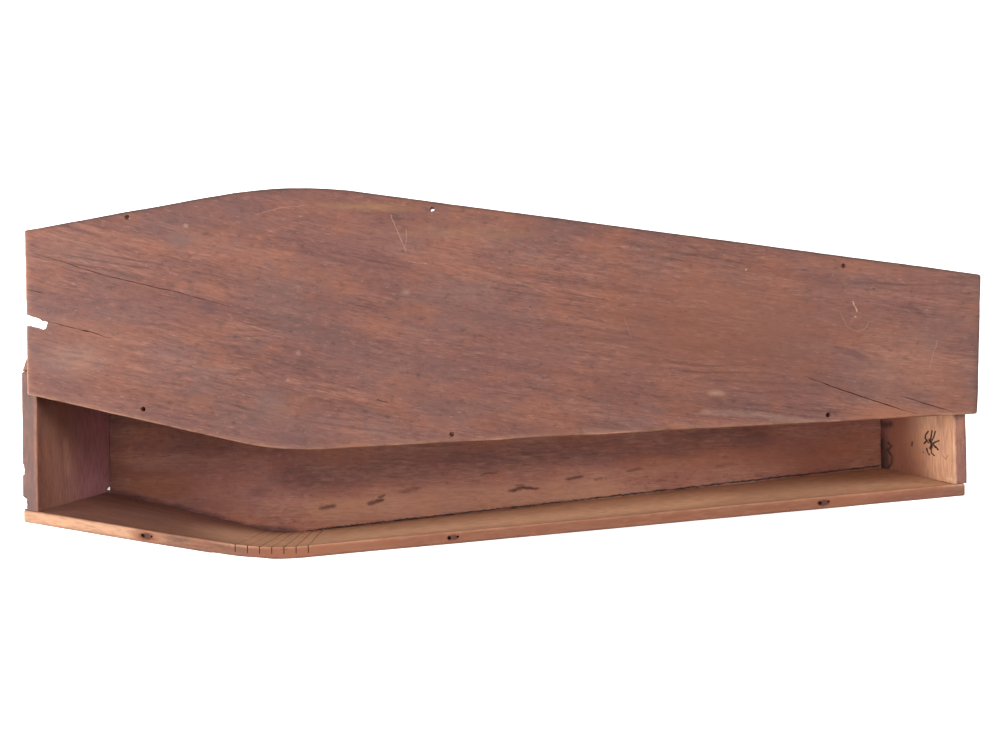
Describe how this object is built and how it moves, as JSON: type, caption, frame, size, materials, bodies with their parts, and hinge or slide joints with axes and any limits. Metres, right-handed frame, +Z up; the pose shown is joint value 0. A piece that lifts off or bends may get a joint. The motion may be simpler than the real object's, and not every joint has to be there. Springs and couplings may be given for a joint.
{
  "type": "wooden coffin",
  "caption": "Child's shouldered wooden coffin, a hollow box of bent and nailed boards, with a worn single-board lid lying askew on its rim.",
  "frame": {"origin": "centre of the box's length and width axis, on the underside of the bottom board, where the box stands", "axes": "+X along the coffin from the head end to the foot end, +Y from the near side to the far side, +Z up to the lid"},
  "size_m": [1.2338, 0.4937, 0.2415],
  "materials": {
    "lid_wood": "old rubbed reddish stain, dull",
    "side_wood": "bare aged wood, worn at the rim",
    "end_wood": "bare aged wood with grey end grain",
    "bottom_wood": "bare aged wood, stained"
  },
  "bodies": {
    "root": {"bottom_board": "bottom_wood", "near_side": "side_wood", "far_side": "side_wood", "head_board": "end_wood", "foot_board": "end_wood", "lid": "lid_wood"}
  },
  "joints": []
}
